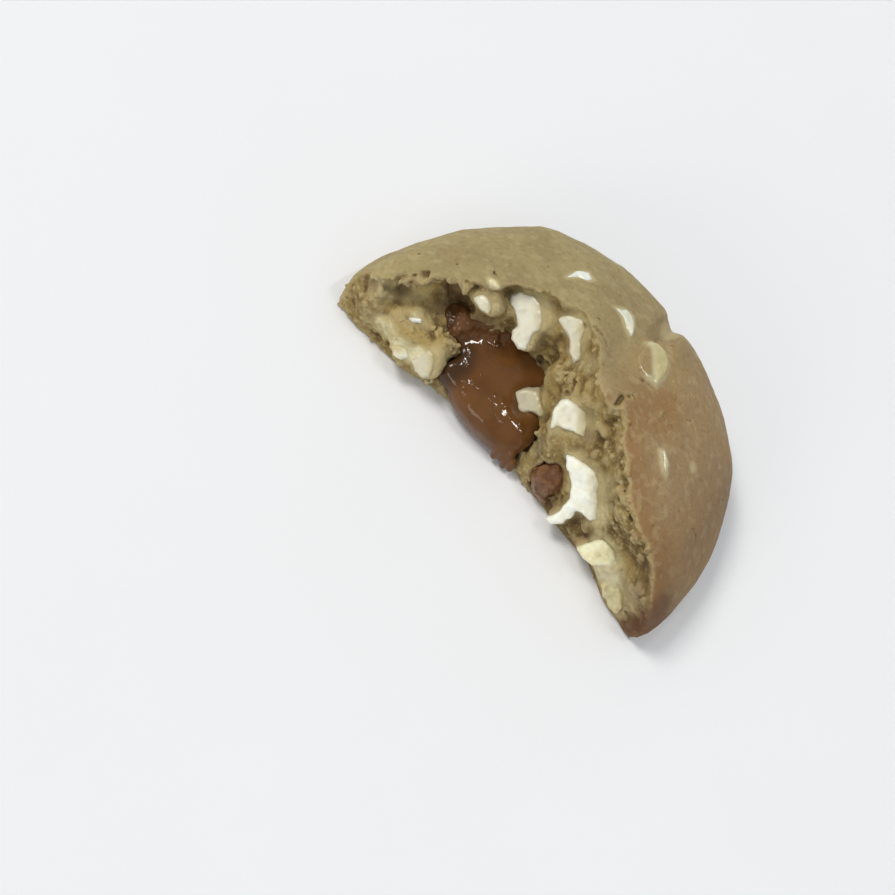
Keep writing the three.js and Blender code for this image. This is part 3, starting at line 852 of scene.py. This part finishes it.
def make_dough(material):
    dough = shape_dough()
    grid, field = dough.grid, dough.field
    piece = make_object("cookie_dough", *grid.surface(field), most=195000)
    spots = points_of(piece)
    x, y, z = (spots - BREAK_MIDDLE).T
    crust_away, torn_away = dough.edge_away(spots)
    flush_away = grid.sample(dough.flush, spots)
    faded = grid.sample(dough.chips, spots - 1.2 * MELTING_SIDE)
    close = grid.sample(dough.chips, spots)
    creamy = np.maximum(0.8 * smooth(faded, 2.6, 0.0), 0.4 * smooth(close, 0.9, 0.0))
    shaded = around(spots, SHADED)
    umber = around(spots, UMBERS) * smooth(crust_away - torn_away, -0.2, 1.5)
    end = smooth(x, 43.5, 48) * smooth(y, 7, -1)
    rim = smooth(z, 15, 5) * smooth(x, 5, 40)
    tag(
        piece,
        torn=smooth(crust_away - torn_away, -0.5, 0.6),
        edge=smooth(crust_away, 2.2, 0.4) * smooth(x, -8, 6),
        # Concavity, small and large: the colours use it for painted light on raised crumbs and painted
        # shade in pits and hollows.
        sunk=-grid.sample(blur(field, 0.7 / DOUGH_CELL), spots),
        deep=-grid.sample(blur(field, 2.2 / DOUGH_CELL), spots),
        stain=np.maximum(smooth(grid.sample(dough.pool, spots), 1.6, 0.1), around(spots, STAINS)),
        pale=around(spots, PALES), creamy=(1 - shaded) * creamy,
        window=smooth(flush_away, 1.1, 0.0) * (1 - toasting(spots)),
        toasted=toasting(spots) * smooth(flush_away, 2.5, 0.5),
        ochre=around(spots, OCHRES), browned=smooth(x, -16, 30),
        ridge=smooth(torn_away, 8.5, 1.5) * smooth(x, 3, 14),
        # Painted shade: the lower crumb towards +X, and the SHADED places under chips.
        low=np.maximum(smooth(z, 30, 8) * smooth(x, 2, 16), shaded),
        scorched=np.maximum.reduce([end, 0.3 * rim, 0.3 * smooth(x, 30, 44), umber]),
    )
    belongs(piece, material, "dough")


def crust_colour(s):
    """Yellowish tan, browner towards +X, with greyish patches and fine freckles."""
    tan = s.mix(s.span(s.noise(13), 0.35, 0.65), (163, 147, 100), (153, 135, 91))
    patches = s.span(s.noise(9, detail=5), 0.3, 0.7)
    brown = s.mix(patches, (162, 131, 87), (153, 127, 91))
    return s.tinted(s.mix(s.number("browned"), tan, brown), CRUST_TINTS)


def crumb_colour(s):
    """Paler where the crumb stands out and darker in its pits and hollows: painted light and shade."""
    crumb = s.mix(s.span(s.noise(4.5), 0.35, 0.65), (166, 143, 89), (141, 117, 67))
    return s.tinted(crumb, CRUMB_TINTS)


def dough_material():
    s = Shader(
        "dough", Roughness=0.7, Specular_IOR_Level=0.25, Subsurface_Weight=0.3,
        Subsurface_Scale=0.002, Subsurface_Radius=(1.0, 0.65, 0.35),
    )
    colour = s.mix(s.number("torn"), crust_colour(s), crumb_colour(s))
    colour = s.tinted(colour, [("creamy", 0.8, (206, 189, 140)), ("pale", 0.85, (212, 198, 150))])
    # Nearly white where the pale places are strongest: the white smear and crumbs, and the painted
    # highlight on the chunk's edge.
    whiter = s.times(s.number("pale"), s.span(s.noise(1.6), 0.3, 0.7, 0.75, 1.05))
    colour = s.mix(s.span(whiter, 0.6, 1.0), colour, (238, 228, 188))
    stain = s.times(s.number("stain"), s.number("torn"))
    stain = s.times(stain, s.span(s.noise(2.2), 0.3, 0.6, 0.35, 1.0))
    colour = s.mix(stain, colour, (116, 90, 60))
    colour = s.tinted(colour, [("scorched", 0.85, (108, 74, 50))])
    grain = s.times(s.noise(1.2, detail=5, rough=0.75), s.number("torn"))
    relief = s.bump(grain, 0.7, s.bump(s.noise(0.55), 0.22))
    return s.finish(Base_Color=colour, Normal=relief)


# ---- filling ----
# Where the filling is smeared up the break behind the pool
SMEAR = [[-30.8, 12.4, 13.2], [-28.4, 11.4, 12.6], [-26, 15, 13], [-20.5, 18, 11.4]]
SMEAR_WIDE = 3.2
SMEAR_THICK = 0.75
FOLD = [[-17, 3.4, 9.6], [-12.7, 6, 10.6], [-7.6, 6.6, 10.8], [-2, 5.8, 10.2], [0.5, 5.2, 9.2]]
# Filling that closes the dip round the chip at the pool's right shore: middle, and size
POOL_FILLS = [([-5.6, 12.6, 6.9], [4.4, 4.2, 3.3]), ([-2.4, 12.2, 6.9], [3.6, 3.4, 2.9])]
# The pocket's filling also fills the dip below it
POCKET_FOOT = [([12.6, 3, 4.2], [1.9, 1.5, 1.9]), ([13.6, 3.2, 2.6], [1.6, 1.3, 1.6])]
DRIPS = [
    ([1.2, 2.4, 6.5], [1.9, 1.5, 0.9]), ([-1.6, 1.9, 6], [-1.2, 1, 1.8]),
    ([2.8, 2.2, 5], [3.4, 1.6, 2.2]),
]
# Low wet ridges and small bubbles that catch the light: from, to, and half the width
WET_RIDGES = [
    ([-7.3, 5, 10.5], [-2, 5.8, 10.2], 0.8), ([-25.5, 14.2, 13.6], [-23.8, 15.6, 14.6], 0.45),
    ([-15.9, 15.3, 11], [-13.2, 16.3, 11], 0.45), ([-23.2, 16.6, 15], [-21.6, 18.4, 15.2], 0.4),
    ([-8.6, 16.9, 10.8], [-7.3, 18.2, 10.7], 0.45),
]
BUBBLES = [
    [-16.7, 3.3, 9.5], [-14.2, 5.5, 10.4], [-12.7, 6.2, 10.6], [-10, 6.8, 10.7], [-9, 6.5, 10.7],
    [-21.6, 17.2, 10.9], [-19.6, 17.7, 11], [-17.6, 16.2, 10.9], [-6.8, 18.7, 10.6],
]
POOL_SHADE = [([-23, 6, 7], [5, 7, 8], 0.95), ([-32, 10, 13], [3, 4, 3], 0.7)]
FILLING_FULLER = 0.45  # the filling comes this much further than its solid
WET_HIGH = 0.3  # a wet ridge's height for each mm of half its width, and a bubble's height
SMEARED = (4.5, 2.0)  # mm from the smear's line: where its roughness starts, and is complete


def smear_on_wall(grid):
    """A thin coat of filling on the dough behind the pool."""
    dough = grid.distance(*triangles_of("dough"), REACH)
    close, spots = grid.near_surface(dough, REACH - 0.1)
    off_line = distance_along(spots, placed(SMEAR)) - SMEAR_WIDE
    smear = np.full(grid.shape, REACH, np.float32)
    smear[close] = np.maximum(dough[close] - SMEAR_THICK, off_line)
    return smear


def add_wet_relief(grid, field):
    """Swells, a fold, ridges and bubbles on the pool, and grain where it is smeared."""
    near, spots = grid.near_surface(field, 1.2)
    fold = distance_along(spots, placed(FOLD))
    field[near] += 0.22 * lumps(spots, 8, 21) + 0.07 * lumps(spots, 2.4, 22)
    field[near] -= 0.35 * np.exp(-((fold / 1.6) ** 2))
    field[near] -= WET_HIGH * smooth(fold, 2.2, 0.6) * smooth(granules(spots, 2.1, 26), 0.1, 0.4)
    smeared = smooth(distance_along(spots, placed(SMEAR)), *SMEARED)
    field[near] -= smeared * (0.4 * granules(spots, 1.2, 25) + 0.25 * lumps(spots, 3, 24))
    for start, stop, half in WET_RIDGES:
        away = distance_along(spots, placed([start, stop]))
        field[near] -= WET_HIGH * half * smooth(away / half, 1.4, 0.0)
    for middle in BUBBLES:
        away = norm(spots - BREAK_MIDDLE - middle, axis=1)
        field[near] -= WET_HIGH * smooth(away, 0.8, 0.1)


def make_filling(material):
    points, faces = triangles_of("filling")
    grid = Grid(points.min(axis=0) - 3, points.max(axis=0) + [3, 3, 9], FILLING_CELL)
    field = grid.distance(points, faces, REACH) - FILLING_FULLER
    field = joined(field, smear_on_wall(grid), 2.4)
    stamp_all(grid, field, POOL_FILLS, 1.5)
    field = blur(field, 0.9 / FILLING_CELL)
    add_wet_relief(grid, field)
    for root, tip in DRIPS:
        spike(grid, field, placed(root), placed(tip), 0.75, 0.5, 0.8)
    field = above_table(grid, field, 0.2)
    piece = make_object("chocolate_pool", *grid.surface(field), most=70000)
    spots = points_of(piece)
    rough = 0.35 * smooth(distance_along(spots, placed(SMEAR)), *SMEARED)
    tag(piece, rough=rough, shade=around(spots, POOL_SHADE))
    belongs(piece, material, "filling")


def make_pocket(material):
    points, faces = triangles_of("filling_pocket")
    grid = Grid(points.min(axis=0) - 2.5, points.max(axis=0) + 2.5, FILLING_CELL)
    rng = default_rng(31)
    field = blur(grid.distance(points, faces, REACH) - 0.25, 0.5 / FILLING_CELL)
    places, facing = scatter(rng, points, faces, 80)
    for place, out in zip(places, facing):
        size = rng.uniform(0.4, 0.9)
        stamp(grid, field, place - out * size * 0.45, size * rng.uniform(0.8, 1.2, 3), 0.3)
    stamp_all(grid, field, POCKET_FOOT, 0.6)
    near, spots = grid.near_surface(field, 1.2)
    field[near] += 0.2 * lumps(spots, 2.4, 23) - 0.3 * granules(spots, 1.3, 27)
    piece = make_object("chocolate_pocket", *grid.surface(field), most=20000)
    vertices = len(piece.data.vertices)
    tag(piece, rough=np.ones(vertices), shade=np.zeros(vertices))
    belongs(piece, material, "filling_pocket")


def filling_material():
    s = Shader("chocolate", Specular_IOR_Level=0.25)
    smooth_one = s.mix(s.span(s.noise(6, detail=2), 0.35, 0.7), (107, 70, 35), (96, 61, 28))
    rough_one = s.mix(s.span(s.noise(2), 0.35, 0.65), (128, 90, 60), (97, 66, 43))
    colour = s.mix(s.number("rough"), smooth_one, rough_one)
    colour = s.mix(s.number("shade"), colour, (64, 42, 22))
    relief = s.bump(s.noise(1.1, detail=2), 0.07)
    gloss = s.span(s.noise(3, detail=2), 0.35, 0.65, 0.04, 0.11)
    return s.finish(Base_Color=colour, Normal=relief, Roughness=gloss)


# ---- white chocolate ----
# How dull these chips are: partly their own duller cream, partly painted shade
DULL_AND_SHADED_CHIPS = {
    "chip_tall": 0.6, "chip_edge": 0.9, "chip_ledge": 0.8, "chip_end": 0.85, "chip_drip": 0.4,
    "chip_hook": 0.2, "chip_roof": 0.5, "chip_chunk": 0.4, "chip_wedge": 0.35, "chip_browned": 0.4,
}
THICKER_CHIPS = {"chip_edge": 2.4}  # how much further out these stand than their solids
# Dips in some chips: middle, and size
CHIP_DIPS = {
    "chip_edge": [([-5.6, 10.2, 13.6], [2.8, 2.2, 2.6]), ([-1.4, 9.7, 9.8], [2.3, 2.3, 2.3])],
    "chip_tall": [([-10.6, 22, 24.6], [1.5, 1.5, 1.5]), ([-5.8, 25.8, 26.6], [1.8, 1.8, 1.8])],
}
# How coarse the crumbling of some chips is
CRUMBLY_CHIPS = {"chip_melted": 0.35, "chip_end": 0.5, "chip_chunk": 0.3, "chip_ledge": 0.15}
# How far across a chip its melted side starts, where that isn't early on
MELTING_FROM = {
    "chip_legs": 0.62, "chip_melted": 0.6, "chip_end": 0.5, "chip_drip": 0.5, "chip_wedge": 0.9,
    "chip_crescent": 0.9, "chip_chunk": 0.1,
}
CHIP_REACH = 2.0
MELTED_SINKS = 0.8  # how far a melted side sinks into the dough
MELTING_RUNS = 0.45  # the share of a chip over which its colour melts away


def thick_chip(grid, points, faces, out):
    """A chip's field, joined with copies of itself that lead outwards."""
    field = grid.distance(points, faces, CHIP_REACH)
    if out.any():
        for share in (0.33, 0.67, 1.0):
            field = np.minimum(field, grid.distance(points + share * out, faces, CHIP_REACH))
    return blur(field - 0.15, 0.2 / CHIP_CELL)


def make_chip(name, seed, material):
    points, faces = triangles_of(name)
    out = facing_of(name) * THICKER_CHIPS.get(name, 0.0)
    low = points.min(axis=0) - 2 + np.minimum(out, 0)
    grid = Grid(low, points.max(axis=0) + 2 + out, CHIP_CELL)
    field = thick_chip(grid, points, faces, out)
    ends = points @ melting_side(name)

    def across(spots):
        """The share of the way from the chip's foot to its melted side."""
        return (spots @ melting_side(name) - ends.min()) / np.ptp(ends)

    near, spots = grid.near_surface(field, 1.4)
    scoops = 0.7 * granules(spots + 0.9 * lumps(spots, 3.5, seed + 25)[:, None], 5.0, seed)
    field[near] += scoops + 0.15 * lumps(spots, 1.5, seed + 50) + 0.08 * lumps(spots, 0.8, seed + 75)
    if name in CHIPS_IN_BREAK:
        field[near] += MELTED_SINKS * smooth(across(spots), 0.6, 1.0)
    if name in CRUMBLY_CHIPS:
        field[near] += CRUMBLY_CHIPS[name] * granules(wavering(spots, seed), 1.8, seed + 9)
    stamp_all(grid, field, CHIP_DIPS.get(name, []), 0.8, hollow=True)
    piece = make_object(name.replace("chip", "white_chip"), *grid.surface(field), most=9000)
    spots = points_of(piece)
    begins = MELTING_FROM.get(name, 0.4)
    tag(
        piece,
        melted=smooth(across(spots), begins, min(1.0, begins + MELTING_RUNS)),
        toasted=toasting(spots),
        # How sunk the surface is, for painted shade in the chip's hollows.
        sunk=-grid.sample(blur(field, 0.6 / CHIP_CELL), spots),
        dull=np.full(len(spots), DULL_AND_SHADED_CHIPS.get(name, 0.0)),
    )
    belongs(piece, material, name)


def chip_material(name, light, shade, melted, dull):
    s = Shader(
        name, Roughness=0.28, Specular_IOR_Level=0.4, Subsurface_Weight=0.5,
        Subsurface_Scale=0.0022, Subsurface_Radius=(1.0, 0.8, 0.5),
    )
    colour = s.mix(s.span(s.noise(4, detail=2), 0.35, 0.7), light, shade)
    # Partly painted shade: chips that are listed as dull and shaded turn towards a greyer cream.
    colour = s.mix(s.number("dull"), colour, dull)
    mixed = s.span(s.noise(2.5), 0.3, 0.6, 0.7, 1.0)
    colour = s.mix(s.times(s.number("melted"), mixed), colour, melted)
    # Painted shade: greyer and darker in the chip's hollows.
    colour = s.mix(s.span(s.number("sunk"), 0.03, 0.25, 0.0, 0.55), colour, (188, 174, 134))
    colour = s.mix(s.number("toasted"), colour, (164, 140, 94))
    relief = s.bump(s.noise(1.0), 0.1)
    return s.finish(Base_Color=colour, Normal=relief)


# ---- floor, light and camera ----
def make_floor():
    corners = [(-3, -3, 0), (3, -3, 0), (3, 3, 0), (-3, 3, 0)]  # in metres
    mesh = bpy.data.meshes.new("floor")
    mesh.from_pydata(corners, [], [(0, 1, 2, 3)])
    s = Shader("floor", Roughness=0.9, Specular_IOR_Level=0.15)
    colour = s.mix(s.noise(60, detail=2), (240, 240, 239), (242, 242, 242))
    mesh.materials.append(s.finish(Base_Color=colour))
    added("floor", mesh)


LAMP_COLOUR = (1.0, 0.98, 0.95)
LAMP_AT = (420, 260, 1950)
# Name, place, width, depth, watts, colour, and whether it lights matt surfaces or only glints
LIGHTS = [
    ("window_light", (-2300, -550, 3300), 1150, 1150, 74.0, (1.0, 0.98, 0.94), True),
    ("first_lamp", (-500, 250, 2000), 60, 60, 2.0, LAMP_COLOUR, True),
    ("second_lamp", LAMP_AT, 70, 500, 4.5, LAMP_COLOUR, True),
    ("glint_lamp", LAMP_AT, 300, 450, 30.0, LAMP_COLOUR, False),
    ("front_light", (-300, -2600, 900), 1200, 800, 13.0, (1.0, 0.97, 0.92), True),
]


def make_light(name, at, wide, deep, watts, colour, diffuse):
    """A rectangular light that faces the origin, `wide` along X and `deep` across it."""
    light = bpy.data.lights.new(name, "AREA")
    light.shape = "RECTANGLE"
    light.size = wide * MM
    light.size_y = deep * MM
    light.energy = watts
    light.color = colour
    lamp = added(name, light)
    back = Vector(at).normalized()
    across = (Vector((1, 0, 0)) - back * back.x).normalized()
    lamp.matrix_world = Matrix((across, back.cross(across), back)).transposed().to_4x4()
    lamp.location = Vector(at) * MM
    lamp.visible_diffuse = diffuse


def make_light_room():
    world = bpy.data.worlds.new("room")
    world.use_nodes = True
    sky = world.node_tree.nodes["Background"]
    sky.inputs["Color"].default_value = (0.9, 0.96, 1.04, 1.0)
    sky.inputs["Strength"].default_value = 0.46
    bpy.context.scene.world = world
    for light in LIGHTS:
        make_light(*light)


CAMERA_ELEVATION = math.radians(61)
CAMERA_AWAY = 480.0
CAMERA_AIM = np.array([-9.53, -31.36, 0.0])  # what lies on the floor at the picture's middle
CAMERA_ROLL = math.radians(47.58)  # turns the picture's right from +X towards up
PICTURE_SIDE = 895
PIXELS_PER_MM = 4.38  # at the aim
SENSOR = 36.0


def make_camera():
    lens = bpy.data.cameras.new("camera")
    lens.sensor_width = SENSOR
    lens.lens = SENSOR * CAMERA_AWAY * PIXELS_PER_MM / PICTURE_SIDE
    camera = added("camera", lens)
    sine, cosine = math.sin(CAMERA_ELEVATION), math.cos(CAMERA_ELEVATION)
    along = Vector((1, 0, 0))
    upward = Vector((0, sine, cosine))
    back = Vector((0, -cosine, sine))
    right = math.cos(CAMERA_ROLL) * along + math.sin(CAMERA_ROLL) * upward
    top = -math.sin(CAMERA_ROLL) * along + math.cos(CAMERA_ROLL) * upward
    turned = Matrix((right, top, back)).transposed().to_4x4()
    turned.translation = (Vector(CAMERA_AIM) + back * CAMERA_AWAY) * MM
    camera.matrix_world = turned
    bpy.context.scene.camera = camera


# ---- the whole scene ----
make_camera()
make_floor()
make_light_room()
bpy.context.scene.view_settings.view_transform = "Standard"

make_dough(dough_material())
chocolate = filling_material()
make_filling(chocolate)
make_pocket(chocolate)
white = chip_material(
    "white_chocolate", (248, 246, 230), (240, 235, 212), (200, 185, 140), (196, 187, 156),
)
butter = chip_material(
    "soft_chip", (244, 238, 202), (232, 220, 172), (198, 182, 128), (190, 178, 132),
)
for number, chip in enumerate(CHIPS_IN_BREAK + CHIPS_IN_CRUST):
    finish = butter if chip in ("chip_melted", "chip_end", "chip_browned") else white
    make_chip(chip, 100 + number, finish)
